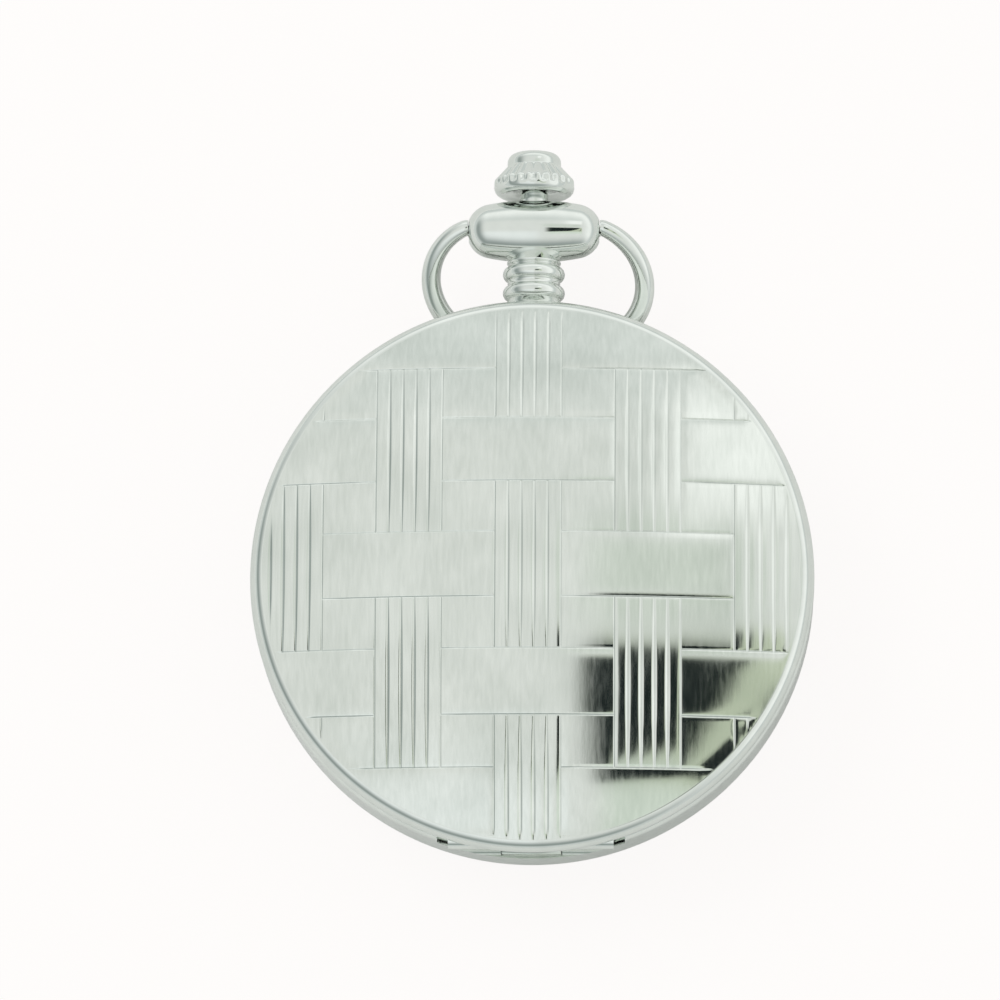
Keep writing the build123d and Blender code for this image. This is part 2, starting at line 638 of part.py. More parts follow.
def setting_lever():
    """Lever whose pin rides in the stem's groove and swings when the crown is pulled."""
    reach_x, reach_y = -lever_pivot[0], setting_pin_y - lever_pivot[1]
    angle = degrees(atan2(reach_y, reach_x))
    length = hypot(reach_x, reach_y)
    arm = block(0, length, -0.3, 0.3, 0, 0.25) + disc(0.6, 0, 0.25) + disc(0.3, 0, 0.25, length, 0)
    arm += disc(0.2, 0, stem_r * 0.45 + 0.32, length, 0)
    arm -= disc(stud_r + run_gap, -1, 1)
    return Pos(lever_pivot[0], lever_pivot[1], lever_z) * Rot(0, 0, angle) * arm


# ---- train ------------------------------------------------------------------------------------------------------------
train_module = 0.14
third_teeth, pinion_teeth = 75, 10
centre_teeth = 80
third_reach = train_module * (third_teeth + pinion_teeth) / 2
centre_module = 2 * third_reach / (centre_teeth + pinion_teeth)
seconds_teeth, seconds_module = 50, 0.2
fifth_reach = seconds_module * (seconds_teeth + pinion_teeth) / 2
fifth_teeth, fifth_module = 60, 0.1
rotor_reach = fifth_module * (fifth_teeth + pinion_teeth) / 2
third_side, fifth_side, rotor_side = 320.0, 130.0, 200.0
third_place = polar(third_reach, third_side)
fifth_place = polar(fifth_reach, fifth_side)
rotor_place = tuple(a + b for a, b in zip(fifth_place, polar(rotor_reach, rotor_side)))
seconds_wheel_z = 4.2
third_wheel_z = 4.6
fifth_wheel_z = 4.9
centre_wheel_z = 5.3
pivot_low = bridge_bottom + 0.15
pivot_high = plate_bottom + 0.5
pivot_r = 0.16
seconds_phase = fifth_side
fifth_pinion_phase = mate_phase(seconds_phase, seconds_teeth, fifth_side, pinion_teeth)
seconds_pinion_phase = third_side
third_phase = mate_phase(seconds_pinion_phase, pinion_teeth, third_side, third_teeth)
third_pinion_phase = third_side + 180
centre_phase = mate_phase(third_pinion_phase, pinion_teeth, third_side + 180, centre_teeth)
fifth_phase = rotor_side
rotor_phase = mate_phase(fifth_phase, fifth_teeth, rotor_side, pinion_teeth)


def seconds_wheel():
    wheel = gear(seconds_teeth, seconds_module, seconds_wheel_z, seconds_wheel_z + gear_face, (0, 0), seconds_phase)
    wheel = spoked(wheel, (0, 0), 1.2, 4.2, seconds_wheel_z, seconds_wheel_z + gear_face)
    wheel += gear(pinion_teeth, train_module, seconds_wheel_z + gear_face, third_wheel_z + gear_face + 0.1,
                  (0, 0), seconds_pinion_phase)
    return wheel + disc(seconds_arbor_r, pivot_low, second_hand_z + hand_wall)


def third_wheel():
    wheel = gear(third_teeth, train_module, third_wheel_z, third_wheel_z + gear_face, third_place, third_phase)
    wheel = spoked(wheel, third_place, 1.1, 4.4, third_wheel_z, third_wheel_z + gear_face)
    wheel += gear(pinion_teeth, centre_module, third_wheel_z + gear_face, centre_wheel_z + gear_face + 0.1,
                  third_place, third_pinion_phase)
    return wheel + disc(pivot_r, pivot_low, pivot_high, *third_place)


def centre_wheel():
    wheel = gear(centre_teeth, centre_module, centre_wheel_z, centre_wheel_z + gear_face, (0, 0), centre_phase)
    wheel = spoked(wheel, (0, 0), 1.3, 4.4, centre_wheel_z, centre_wheel_z + gear_face)
    wheel += disc(centre_tube_r, centre_wheel_z - 0.05, minute_hand_z)
    return wheel - disc(seconds_arbor_r + run_gap, centre_wheel_z - 1, minute_hand_z + 1)


def fifth_wheel():
    wheel = gear(fifth_teeth, fifth_module, fifth_wheel_z, fifth_wheel_z + gear_face, fifth_place, fifth_phase)
    wheel = spoked(wheel, fifth_place, 1.1, 2.4, fifth_wheel_z, fifth_wheel_z + gear_face)
    wheel += gear(pinion_teeth, seconds_module, seconds_wheel_z - 0.05, fifth_wheel_z, fifth_place,
                  fifth_pinion_phase)
    return wheel + disc(pivot_r, pivot_low, pivot_high, *fifth_place)


def rotor():
    """Magnet of the stepping motor with its pinion."""
    body = gear(pinion_teeth, fifth_module, fifth_wheel_z - 0.05, fifth_wheel_z + gear_face + 0.1, rotor_place,
                rotor_phase)
    body += disc(0.6, fifth_wheel_z + gear_face + 0.1, plate_bottom - 0.1, *rotor_place)
    return body + disc(pivot_r, pivot_low, pivot_high, *rotor_place)


# ---- plates, motor, cell and circuit --------------------------------------------------------------------------------------
battery_place = polar(9.1, 225)
battery_r = 3.4
battery_low, battery_high = 3.3, 5.9
coil_x, coil_z, coil_r = -10.2, 4.75, 0.95
coil_y = (-1.8, 4.2)
coil_end = 0.9            # how far the core's flat ends reach past the winding
post_circle = movement_r - 1.8
bridge_posts = (polar(post_circle, 95), polar(post_circle + 0.3, 275), polar(post_circle, 145))
board_place = (8.0, 5.2)
board_half = (2.6, 3.0)


def main_plate():
    """Brass plate: recesses for the motion and setting work above, posts for the train bridge below."""
    body = disc(movement_r, plate_bottom, plate_top)
    for place, radius in (((0, 0), hour_module * (hour_teeth / 2 + 1.2)),
                          (minute_place, motion_module * (minute_teeth / 2 + 1.2)),
                          (setting_place, motion_module * (setting_teeth / 2 + 1.2))):
        body -= disc(radius, motion_floor, plate_top + 1, *place)
    body -= block(-0.6, 0.6, stem_start - press_travel - 0.2, movement_r + 1, stem_z - 0.55, plate_top + 1)
    body -= block(-0.95, 0.95, movement_r - 2.4, movement_r + 1, stem_z - 0.95, plate_top + 1)
    body -= block(-3.3, 0.6, 6.8, 10.3, lever_z - 0.05, plate_top + 1)
    body += disc(stud_r, lever_z - 0.2, lever_z + 0.3, *lever_pivot)
    body += disc(stud_r, motion_floor - 0.2, minute_wheel_z + gear_face + 0.1, *setting_place)
    body += disc(stud_r, motion_floor - 0.2, hour_wheel_z + gear_face + 0.05, *minute_place)
    for x, y in bridge_posts:
        body += disc(post_r, bridge_top, plate_bottom + 0.1, x, y)
        body -= disc(0.3, bridge_top - 0.1, bridge_top + 1.5, x, y)
    body -= disc(centre_tube_r + run_gap, plate_bottom - 1, plate_top)
    for place in (third_place, fifth_place, rotor_place):
        body -= disc(pivot_r + run_gap, plate_bottom - 1, pivot_high + 0.1, *place)
    return body


def train_bridge():
    """Plate that carries the lower pivots of the train, held on three posts."""
    body = disc(12.2, bridge_bottom, bridge_top)
    body -= disc(battery_r + 0.7, bridge_bottom - 1, bridge_top + 1, *battery_place)
    body -= block(board_place[0] - board_half[0] - 0.3, 20, board_place[1] - board_half[1] - 0.3, 20,
                  bridge_bottom - 1, bridge_top + 1)
    body -= block(-20, coil_x + coil_r + 0.4, coil_y[0] - 0.4, coil_y[1] + coil_end + 0.3,
                  bridge_bottom - 1, bridge_top + 1)
    body -= block(-2.4, 2.4, -9.4, -6.6, bridge_bottom - 1, bridge_top + 1)
    for place in (third_place, fifth_place, rotor_place):
        body -= disc(pivot_r + run_gap, bridge_bottom - 1, bridge_top + 1, *place)
    body -= disc(seconds_arbor_r + run_gap, bridge_bottom - 1, bridge_top + 1)
    for x, y in bridge_posts:
        body -= disc(0.3, bridge_bottom - 1, bridge_top + 1, x, y)
    return body


def bridge_screw(index):
    x, y = bridge_posts[index]
    return slotted_screw(x, y, bridge_bottom, 0.3, 0.7, 1.8, up=-1)


def battery():
    x, y = battery_place
    can = disc(battery_r, battery_low + 0.3, battery_high, x, y)
    return can + disc(battery_r - 0.6, battery_low, battery_low + 0.3, x, y)


def battery_strap():
    """Spring contact across the cell, screwed to the plate's post."""
    x, y = battery_place
    strap = Pos(x, y, battery_low - 0.2) * Rot(0, 0, 135) * block(-3.9, 3.9, -0.8, 0.8, 0, 0.2)
    feet = Pos(x, y, 0) * Rot(0, 0, 135) * (
        block(-3.9, -3.6, -0.8, 0.8, battery_low - 0.2, plate_bottom)
        + block(3.6, 3.9, -0.8, 0.8, battery_low - 0.2, plate_bottom))
    return strap + feet


def coil():
    """Winding of the stepping motor."""
    return rod_y(coil_r, coil_y[0], coil_y[1], coil_x, coil_z) - core_bar()


def core_bar():
    low, high = coil_z - 0.3, coil_z + 0.3
    return block(coil_x - 0.5, coil_x + 0.5, coil_y[0] - coil_end, coil_y[1] + coil_end, low, high)


def coil_core():
    """Soft-iron core through the winding, with a foot at each end that meets the stator."""
    body = core_bar()
    for y in (coil_y[0] - coil_end, coil_y[1]):
        body += block(coil_x - 0.5, coil_x + 0.5, y + 0.1, y + coil_end - 0.1, coil_z + 0.3, stator_low)
    return body


stator_low, stator_high = 5.75, 6.05


def stator():
    """Flat stator between the core's feet, with a round eye for the rotor."""
    rx, ry = rotor_place
    lower, upper = coil_y[0] - coil_end + 0.1, coil_y[1] + coil_end - 0.1
    body = slab([(coil_x - 0.5, upper), (coil_x - 0.5, upper - 0.8), (rx - 0.8, ry + 0.6), (rx - 0.8, ry - 0.8),
                 (coil_x - 0.5, lower + 0.8), (coil_x - 0.5, lower), (coil_x + 0.8, lower),
                 (rx + 1.2, ry - 1.0), (rx + 1.2, ry + 1.0), (coil_x + 0.8, upper)], stator_low, stator_high)
    return body - disc(0.75, stator_low - 1, stator_high + 1, rx, ry)


def circuit_board():
    x, y = board_place
    body = block(x - board_half[0], x + board_half[0], y - board_half[1], y + board_half[1], 3.7, 4.0)
    body = body & disc(movement_r - 0.5, 3, 5)
    post_x, post_y = board_post
    body += Pos(0, 0, 0) * disc(post_r, 3.7, 4.0, post_x, post_y)
    return body - disc(0.3, 3, 5, post_x, post_y)


board_post = (9.6, 3.4)


def board_pillar():
    """Plastic spacer between the main plate and the circuit board."""
    return ring(post_r, 0.3, 4.0, plate_bottom, *board_post)


def board_screw():
    return slotted_screw(board_post[0], board_post[1], 3.7, 0.3, 0.65, 2.2, up=-1)


def quartz_can():
    """Tubular crystal of the oscillator, lying on the board."""
    x, y = board_place
    return rod_y(0.75, y - 2.2, y + 2.2, x - 1.2, 4.0 + 0.75)


def chip():
    x, y = board_place
    return block(x + 0.2, x + 1.7, y + 0.2, y + 1.7, 4.0, 4.5)


# ---- all pieces -------------------------------------------------------------------------------------------------------------
pieces = {
    "case_band": case_band(),
    "back_cover": back_cover(),
    "back_gasket": back_gasket(),
    "bezel": bezel(),
    "crystal": crystal(),
    "crystal_gasket": crystal_gasket(),
    "front_cover": front_cover(),
    "hinge_pin": hinge_pin(),
    "catch_spring": catch_spring(),
    "catch_screw": slotted_screw(*catch_screw_place(), spring_floor + 0.65, 0.28, 0.45, 1.8),
    "lift_spring": lift_spring(),
    "lift_screw": slotted_screw(*lift_screw_place(), spring_floor + 0.6, 0.28, 0.45, 1.8),
    "pendant_neck": pendant_neck(),
    "pendant_bead": pendant_bead(),
    "bow": bow(),
    "crown": crown(),
    "press_sleeve": press_sleeve(),
    "pull_collar": pull_collar(),
    "crown_stem": crown_stem(),
    "movement_ring": movement_ring(),
    "dial": dial(),
    "hour_markers": hour_markers(),
    "rehaut_ring": rehaut_ring(),
    "hour_hand": hour_hand(),
    "minute_hand": minute_hand(),
    "second_hand": second_hand(),
    "cannon_pinion": cannon_pinion(),
    "minute_wheel": minute_wheel(),
    "hour_wheel": hour_wheel(),
    "setting_wheel": setting_wheel(),
    "sliding_pinion": sliding_pinion(),
    "setting_lever": setting_lever(),
    "seconds_wheel": seconds_wheel(),
    "third_wheel": third_wheel(),
    "centre_wheel": centre_wheel(),
    "fifth_wheel": fifth_wheel(),
    "rotor": rotor(),
    "main_plate": main_plate(),
    "train_bridge": train_bridge(),
    "bridge_screw_1": bridge_screw(0),
    "bridge_screw_2": bridge_screw(1),
    "bridge_screw_3": bridge_screw(2),
    "battery": battery(),
    "battery_strap": battery_strap(),
    "coil": coil(),
    "coil_core": coil_core(),
    "stator": stator(),
    "circuit_board": circuit_board(),
    "board_pillar": board_pillar(),
    "board_screw": board_screw(),
    "quartz_can": quartz_can(),
    "chip": chip(),
}

for name, shape in pieces.items():
    export_step(shape, f"parts/{name}.step")
print(len(pieces), "pieces written")
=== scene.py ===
# %% [markdown]
# # A hunter-case pocket watch
#
# A hunter case hides the dial under a domed front cover. This lesson dresses the watch for a studio
# picture: the metal case, the basket-weave cover, the bow, the pendant and the dial that shows when
# the cover opens. The engineering model is loaded first and stays as it is; the pieces below either
# give its parts a finish or stand in for them with a finer surface.

# %% Load the watch
import bpy
import json
import math
from mathutils import Matrix, Vector


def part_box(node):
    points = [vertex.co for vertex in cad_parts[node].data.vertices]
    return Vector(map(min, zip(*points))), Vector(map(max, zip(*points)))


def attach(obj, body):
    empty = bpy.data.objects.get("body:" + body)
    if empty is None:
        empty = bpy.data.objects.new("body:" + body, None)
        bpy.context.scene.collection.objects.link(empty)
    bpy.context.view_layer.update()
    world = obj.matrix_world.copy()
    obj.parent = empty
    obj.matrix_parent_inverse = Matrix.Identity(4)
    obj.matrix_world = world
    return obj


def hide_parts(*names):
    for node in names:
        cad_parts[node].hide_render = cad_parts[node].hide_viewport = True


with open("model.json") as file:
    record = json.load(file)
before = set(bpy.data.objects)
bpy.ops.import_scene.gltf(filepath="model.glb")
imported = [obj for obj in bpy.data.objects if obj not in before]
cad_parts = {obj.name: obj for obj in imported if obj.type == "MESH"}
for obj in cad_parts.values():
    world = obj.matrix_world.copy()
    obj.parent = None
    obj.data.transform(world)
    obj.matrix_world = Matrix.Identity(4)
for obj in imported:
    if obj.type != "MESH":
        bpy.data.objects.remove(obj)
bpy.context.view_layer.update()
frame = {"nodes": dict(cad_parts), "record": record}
MM = 0.001

# %% [markdown]
# Every piece is a plain mesh written straight into place, in metres. One helper makes the mesh from
# points and faces and shades it smooth, so the later cells only have to work out shapes.

# %% A mesh from points and faces
made = {}


def piece(name, points, faces, materials, body, face_slots=None, smooth=True):
    """Mesh object that rides on a body; face_slots picks a material for each face."""
    mesh = bpy.data.meshes.new(name)
    mesh.from_pydata([tuple(c * MM for c in p) for p in points], [], faces)
    mesh.validate()
    for material in materials:
        mesh.materials.append(material)
    for i, polygon in enumerate(mesh.polygons):
        polygon.use_smooth = smooth
        if face_slots:
            polygon.material_index = face_slots[i]
    mesh.update()
    thing = bpy.data.objects.new(name, mesh)
    bpy.context.scene.collection.objects.link(thing)
    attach(thing, body)
    made[name] = len(mesh.polygons)
    return thing


# %% [markdown]
# Most of a watch case is turned on a lathe. A lathe is a profile of (radius, height) points swept
# round an axis. A crisp corner is two points very close together in the profile, so the mesh is
# never split and the whole surface can stay smooth-shaded.

# %% A lathe
def arc(centre, radius, start, stop, steps):
    """Points of an arc; angles in degrees from the first axis."""
    turns = [math.radians(start + (stop - start) * i / steps) for i in range(steps + 1)]
    return [(centre[0] + radius * math.cos(t), centre[1] + radius * math.sin(t)) for t in turns]


def lathe(profile, segments, place):
    """Points and faces of a closed or open turned shape; place maps (radius, height, angle) to a point."""
    points = [place(r, h, 2 * math.pi * k / segments) for r, h in profile for k in range(segments)]
    faces = []
    for i in range(len(profile) - 1):
        for k in range(segments):
            after = (k + 1) % segments
            faces.append((i * segments + k, i * segments + after,
                          (i + 1) * segments + after, (i + 1) * segments + k))
    return points, faces


def about_z(r, h, turn):
    """Turned round the middle of the watch."""
    return (r * math.cos(turn), r * math.sin(turn), h)


crown_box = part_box("crown")
stem_height = (crown_box[0][2] + crown_box[1][2]) / 2 / MM
print("stem height", round(stem_height, 3))


def about_stem(r, h, turn):
    """Turned round the stem, which runs along Y."""
    return (r * math.sin(turn), h, stem_height + r * math.cos(turn))


# %% [markdown]
# ## Finishes
#
# The case is plated white metal: mirror-polished at the rim, the bow and the pendant, and satin on
# the face. All of it is one metal, so it shares one colour with a faint green in the silver. What
# changes is the roughness and the tiny marks of the wheel or the brush, which are noise stretched
# in the brushing direction.

# %% Node helpers
def blank(name):
    """A new material with its shader and a position in metres."""
    material = bpy.data.materials.new(name)
    material.use_nodes = True
    nodes, links = material.node_tree.nodes, material.node_tree.links
    coords = nodes.new("ShaderNodeTexCoord")
    return material, nodes, links, nodes["Principled BSDF"], coords.outputs["Object"]


def grain(nodes, links, where, scale, stretch=(1, 1, 1), turn=0.0, detail=3.0):
    """Noise in grains of 1 / scale metres, stretched along its own axes."""
    mapping = nodes.new("ShaderNodeMapping")
    mapping.inputs["Scale"].default_value = stretch
    mapping.inputs["Rotation"].default_value = (0, 0, math.radians(turn))
    noise = nodes.new("ShaderNodeTexNoise")
    noise.inputs["Scale"].default_value = scale
    noise.inputs["Detail"].default_value = detail
    links.new(where, mapping.inputs["Vector"])
    links.new(mapping.outputs["Vector"], noise.inputs["Vector"])
    return noise.outputs["Fac"]


def spread(nodes, links, value, low, high, start=0.3, stop=0.7):
    """The value's part from start to stop stretched to run from low to high."""
    node = nodes.new("ShaderNodeMapRange")
    node.inputs["From Min"].default_value = start
    node.inputs["From Max"].default_value = stop
    node.inputs["To Min"].default_value = low
    node.inputs["To Max"].default_value = high
    links.new(value, node.inputs["Value"])
    return node.outputs["Result"]


def bump(nodes, links, shader, height, distance):
    """Relief of a depth in metres that tilts the shading."""
    node = nodes.new("ShaderNodeBump")
    node.inputs["Strength"].default_value = 1.0
    node.inputs["Distance"].default_value = distance
    links.new(height, node.inputs["Height"])
    links.new(node.outputs["Normal"], shader.inputs["Normal"])


def tint(nodes, links, shader, value, dark, light):
    """Colour that wanders between two shades."""
    mix = nodes.new("ShaderNodeMix")
    mix.data_type = "RGBA"
    mix.inputs["A"].default_value = (*dark, 1)
    mix.inputs["B"].default_value = (*light, 1)
    links.new(value, mix.inputs["Factor"])
    links.new(mix.outputs["Result"], shader.inputs["Base Color"])


# %% Metals
cloud_scale = 160
mark_share = 0.7
shade_range = (0.55, 1.15)


def metal(name, dark, light, rough, scale, stretch=(1, 1, 1), turn=0.0, relief=0.0):
    """Metal with wandering roughness; relief is the depth of its marks in metres."""
    material, nodes, links, shader, where = blank(name)
    shader.inputs["Metallic"].default_value = 1.0
    marks = grain(nodes, links, where, scale, stretch, turn)
    clouds = grain(nodes, links, where, cloud_scale, detail=2.0)
    both = nodes.new("ShaderNodeMath")
    both.operation = "MULTIPLY_ADD"
    both.inputs[1].default_value = mark_share
    links.new(marks, both.inputs[0])
    links.new(clouds, both.inputs[2])
    shade = spread(nodes, links, both.outputs["Value"], 0, 1, *shade_range)
    tint(nodes, links, shader, shade, dark, light)
    links.new(spread(nodes, links, marks, *rough), shader.inputs["Roughness"])
    if relief:
        bump(nodes, links, shader, marks, relief)
    return material


silver_dark, silver_light = (0.76, 0.79, 0.76), (0.85, 0.875, 0.845)
satin_dark, satin_light = (0.70, 0.735, 0.695), (0.87, 0.895, 0.86)
satin_rough = (0.07, 0.12)
polished = metal("polished_silver", silver_dark, silver_light, (0.05, 0.09), 700)
cover_ribs = metal("ribbed_silver", satin_dark, satin_light, satin_rough, 3600, (1, 0.04, 1), relief=1.2e-6)
cover_bands = metal("brushed_band_silver", satin_dark, satin_light, satin_rough, 3000, (1, 0.15, 1), -30,
                    1.1e-6)
cover_squares = metal("brushed_square_silver", satin_dark, satin_light, satin_rough, 3000, (1, 0.12, 1), 15,
                      1.1e-6)
inside_silver = metal("inner_silver", silver_dark, silver_light, (0.10, 0.16), 3000, relief=4e-7)
spring_steel = metal("spring_steel", (0.46, 0.47, 0.49), (0.58, 0.59, 0.61), (0.2, 0.35), 7000, (1, 0.1, 1))
movement_brass = metal("movement_brass", (0.66, 0.52, 0.26), (0.78, 0.64, 0.36), (0.2, 0.34), 8000,
                       (1, 0.05, 1), 30)
soft_iron = metal("soft_iron", (0.40, 0.40, 0.40), (0.52, 0.52, 0.52), (0.35, 0.5), 5000)
print("materials so far", len(bpy.data.materials))


# %% [markdown]
# The dial is matt white paint, the hands and batons dark blue enamel, and the crystal clear glass.
# The works behind the dial have moulded plastic, lacquered laminate and enamelled copper wire.

# %% Paint, plastic and glass
def coated(name, dark, light, rough, scale, relief, coat=0.0):
    """Paint or plastic with a fine grain."""
    material, nodes, links, shader, where = blank(name)
    marks = grain(nodes, links, where, scale)
    tint(nodes, links, shader, marks, dark, light)
    links.new(spread(nodes, links, marks, *rough), shader.inputs["Roughness"])
    shader.inputs["Coat Weight"].default_value = coat
    bump(nodes, links, shader, marks, relief)
    return material


def crystal_glass():
    """Clear glass with faint smears."""
    material, nodes, links, shader, where = blank("crystal_glass")
    shader.inputs["Base Color"].default_value = (0.97, 0.985, 0.98, 1)
    shader.inputs["Transmission Weight"].default_value = 1.0
    shader.inputs["IOR"].default_value = 1.5
    smears = grain(nodes, links, where, 400)
    links.new(spread(nodes, links, smears, 0.0, 0.02), shader.inputs["Roughness"])
    return material


dial_white = coated("dial_white", (0.86, 0.86, 0.83), (0.91, 0.91, 0.885), (0.45, 0.55), 9000, 4e-7)
enamel_blue = coated("enamel_blue", (0.012, 0.02, 0.07), (0.02, 0.032, 0.10), (0.18, 0.28), 4000, 2e-7, 0.6)
print_black = coated("print_black", (0.015, 0.015, 0.018), (0.03, 0.03, 0.034), (0.4, 0.5), 9000, 2e-7)
moulded_white = coated("moulded_white", (0.74, 0.74, 0.71), (0.80, 0.80, 0.77), (0.4, 0.5), 3000, 1e-6)
moulded_black = coated("moulded_black", (0.015, 0.015, 0.016), (0.03, 0.03, 0.03), (0.4, 0.55), 3000, 1e-6)
gasket_rubber = coated("gasket_rubber", (0.02, 0.02, 0.02), (0.035, 0.035, 0.035), (0.6, 0.75), 4000, 1e-6)
board_green = coated("board_green", (0.02, 0.14, 0.06), (0.03, 0.19, 0.08), (0.25, 0.35), 2000, 4e-7, 0.4)
copper_wire = coated("copper_wire", (0.45, 0.16, 0.05), (0.60, 0.24, 0.09), (0.25, 0.35), 3000, 1e-6, 0.5)
glass = crystal_glass()

# %% [markdown]
# ## Which finish goes where
#
# The nodes that are already the right shape keep it and only change material. A node is one kind of
# piece of the real watch, so one finish each is right.

# %% Finish the nodes
finishes = {
    polished: ["case_band", "press_sleeve", "back_cover", "bezel", "crown", "pendant_neck",
               "pendant_bead", "bow"],
    inside_silver: ["front_cover", "rehaut_ring"],
    spring_steel: ["hinge_pin", "catch_spring", "catch_screw", "lift_spring", "lift_screw", "pull_collar",
                   "crown_stem", "sliding_pinion", "setting_lever", "bridge_screw_1", "bridge_screw_2",
                   "bridge_screw_3", "board_screw", "battery_strap", "battery", "quartz_can"],
    soft_iron: ["coil_core", "stator", "rotor"],
    movement_brass: ["main_plate", "train_bridge", "cannon_pinion", "minute_wheel", "hour_wheel",
                     "setting_wheel", "seconds_wheel", "third_wheel", "centre_wheel", "fifth_wheel"],
    dial_white: ["dial"],
    enamel_blue: ["hour_hand", "minute_hand", "second_hand", "hour_markers"],
    moulded_white: ["movement_ring", "board_pillar"],
    moulded_black: ["chip"],
    gasket_rubber: ["back_gasket", "crystal_gasket"],
    board_green: ["circuit_board"],
    copper_wire: ["coil"],
    glass: ["crystal"],
}
for material, names in finishes.items():
    for name in names:
        node = frame["nodes"][name]
        for slot in node.material_slots:
            slot.material = material
print("finished", sum(len(names) for names in finishes.values()), "of", len(frame["nodes"]))

# %% [markdown]
# ## The front cover
#
# The cover is a shallow dome stamped with a basket weave: five ribbed strips run up the watch and
# five plain ones run across, over and under in turn, with a plain square in every gap. The relief
# is only a tenth or two of a millimetre, but a polished face shows every slope, so it is real
# geometry here and not a bump map.
#
# All edges run along X or Y. A grid whose lines crowd at those edges, and stay far apart elsewhere,
# holds sharp grooves with few faces.

# %% Sizes of the cover
cad_cover_r, _, cover_top = [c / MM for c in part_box("front_cover")[1]]
cover_r = cad_cover_r + 0.1
dome_edge_r = cad_cover_r - 0.7
dome_fall = 2.95
dome_r = (dome_edge_r ** 2 + dome_fall ** 2) / (2 * dome_fall)
rim_bottom = 10.8
cover_wall = 0.7
print("cover radius", round(cover_r, 2), "top", round(cover_top, 2), "dome radius", round(dome_r, 1))

# %% Sizes of the weave
strip = 5.6
pitch_x, pitch_y = 10.13, 10.0
weave_x, weave_y = -0.27, 0.3
ribs = 5
rib = strip / ribs
rib_arch = 0.022
groove_wide, groove_narrow = 0.2, 0.09
steepness = 0.5
strip_dip = 0.05
strip_arch = 0.035
square_drop = 0.07
line_width, line_depth = 0.085, 0.05
fade_start, fade_end = 22.2, 22.8
face_edge = 22.9
columns = [weave_x + pitch_x * i for i in range(-2, 3)]
rows = [weave_y + pitch_y * i for i in range(-2, 3)]
reach = pitch_y - strip / 2


def dome(x, y):
    """Height of the smooth dome."""
    return cover_top - dome_r + math.sqrt(dome_r ** 2 - x * x - y * y)


# %% [markdown]
# At any point the question is which strip lies on top. The strips are numbered across and up the
# watch; an up-and-down strip is on top where the two numbers add to an even one. Each visible
# length of strip is highest where it crosses over and dips at both ends, where it goes under the
# next one.

# %% Which strip is on top
def nearest(value, lines):
    """Number of the nearest strip and the distance from its middle."""
    index = min(range(len(lines)), key=lambda i: abs(value - lines[i]))
    return index, value - lines[index]


def along_strip(value, lines, parity):
    """0 where the strip crosses over another, 1 where it goes under the next one."""
    gap = min(abs(value - lines[i]) for i in range(len(lines)) if i % 2 == parity)
    return min(gap / reach, 1.0)


def valley(distance, half_width, depth):
    """Depth of a V-shaped cut at a distance from its middle."""
    return depth * max(0.0, 1 - distance / half_width)


def rib_relief(across, share):
    """Slightly rounded ribs with cuts between them that are widest in mid-length."""
    place = (across / rib + 0.5 * ribs) % 1
    half_width = groove_narrow + (groove_wide - groove_narrow) * (1 - share ** 2)
    from_edge = rib * min(place, 1 - place)
    inner = abs(across) < strip / 2 - rib / 2
    cut = valley(from_edge, half_width, half_width * steepness) if inner else 0.0
    return max(rib_arch * (1 - 0.7 * share) * abs(2 * place - 1) ** 2.2, cut)


def weave(x, y):
    """Relief below the dome and the kind of surface: 0 rib, 1 plain strip, 2 square."""
    column, across = nearest(x, columns)
    row, along = nearest(y, rows)
    in_column, in_row = abs(across) < strip / 2, abs(along) < strip / 2
    rib_on_top = (column + row) % 2 == 0
    if in_column and (rib_on_top or not in_row):
        share = along_strip(y, rows, column % 2)
        depth, kind = strip_dip * share ** 3 + rib_relief(across, share), 0
    elif in_row:
        share = along_strip(x, columns, (row + 1) % 2)
        depth, kind = strip_dip * share ** 3 + strip_arch * abs(2 * along / strip) ** 7, 1
    else:
        depth, kind = square_drop, 2
    cut = 0.0
    if not in_row or rib_on_top:
        cut = valley(abs(abs(across) - strip / 2), line_width, line_depth)
    if not in_column or not rib_on_top:
        cut = max(cut, valley(abs(abs(along) - strip / 2), line_width, line_depth))
    fade = min(max((fade_end - math.hypot(x, y)) / (fade_end - fade_start), 0.0), 1.0)
    return (depth + cut) * fade, kind


# %% Grid lines that crowd at the edges
edge_steps = (-0.1, -0.08, -0.04, -0.008, 0.008, 0.04, 0.08, 0.1)
groove_steps = (-0.26, -0.2, -0.15, -0.1, -0.05, -0.01, 0.01, 0.05, 0.1, 0.15, 0.2, 0.26)
rib_steps = (-0.2, 0, 0.2)
arch_steps = (0.2, 0.35, 0.55)
least_gap = 0.012


def strip_lines(middle, ribbed):
    """Line positions that one strip needs."""
    start = middle - strip / 2
    wanted = [middle + side * strip / 2 + step for side in (-1, 1) for step in edge_steps]
    if ribbed:
        wanted += [start + rib * i + step for i in range(1, ribs) for step in groove_steps]
        wanted += [start + rib * (i + 0.5) + step for i in range(ribs) for step in rib_steps]
    else:
        wanted += [middle + side * (strip / 2 - step) for side in (-1, 1) for step in arch_steps]
    return wanted


def grid_lines(lines, fill, ribbed):
    """Sorted line positions across the face, about fill apart where no strip needs its own."""
    wanted = {round(value, 4) for middle in lines for value in strip_lines(middle, ribbed)}
    steps = int(2 * cover_r / fill)
    for i in range(steps + 1):
        value = -cover_r + 2 * cover_r * i / steps
        if all(abs(value - w) > fill * 0.4 for w in wanted):
            wanted.add(round(value, 4))
    kept = []
    for value in sorted(wanted):
        if abs(value) < face_edge - 0.02 and (not kept or value - kept[-1] > least_gap):
            kept.append(value)
    return kept


xs = grid_lines(columns, 0.5, True)
ys = grid_lines(rows, 0.45, False)
print("grid", len(xs), "x", len(ys))

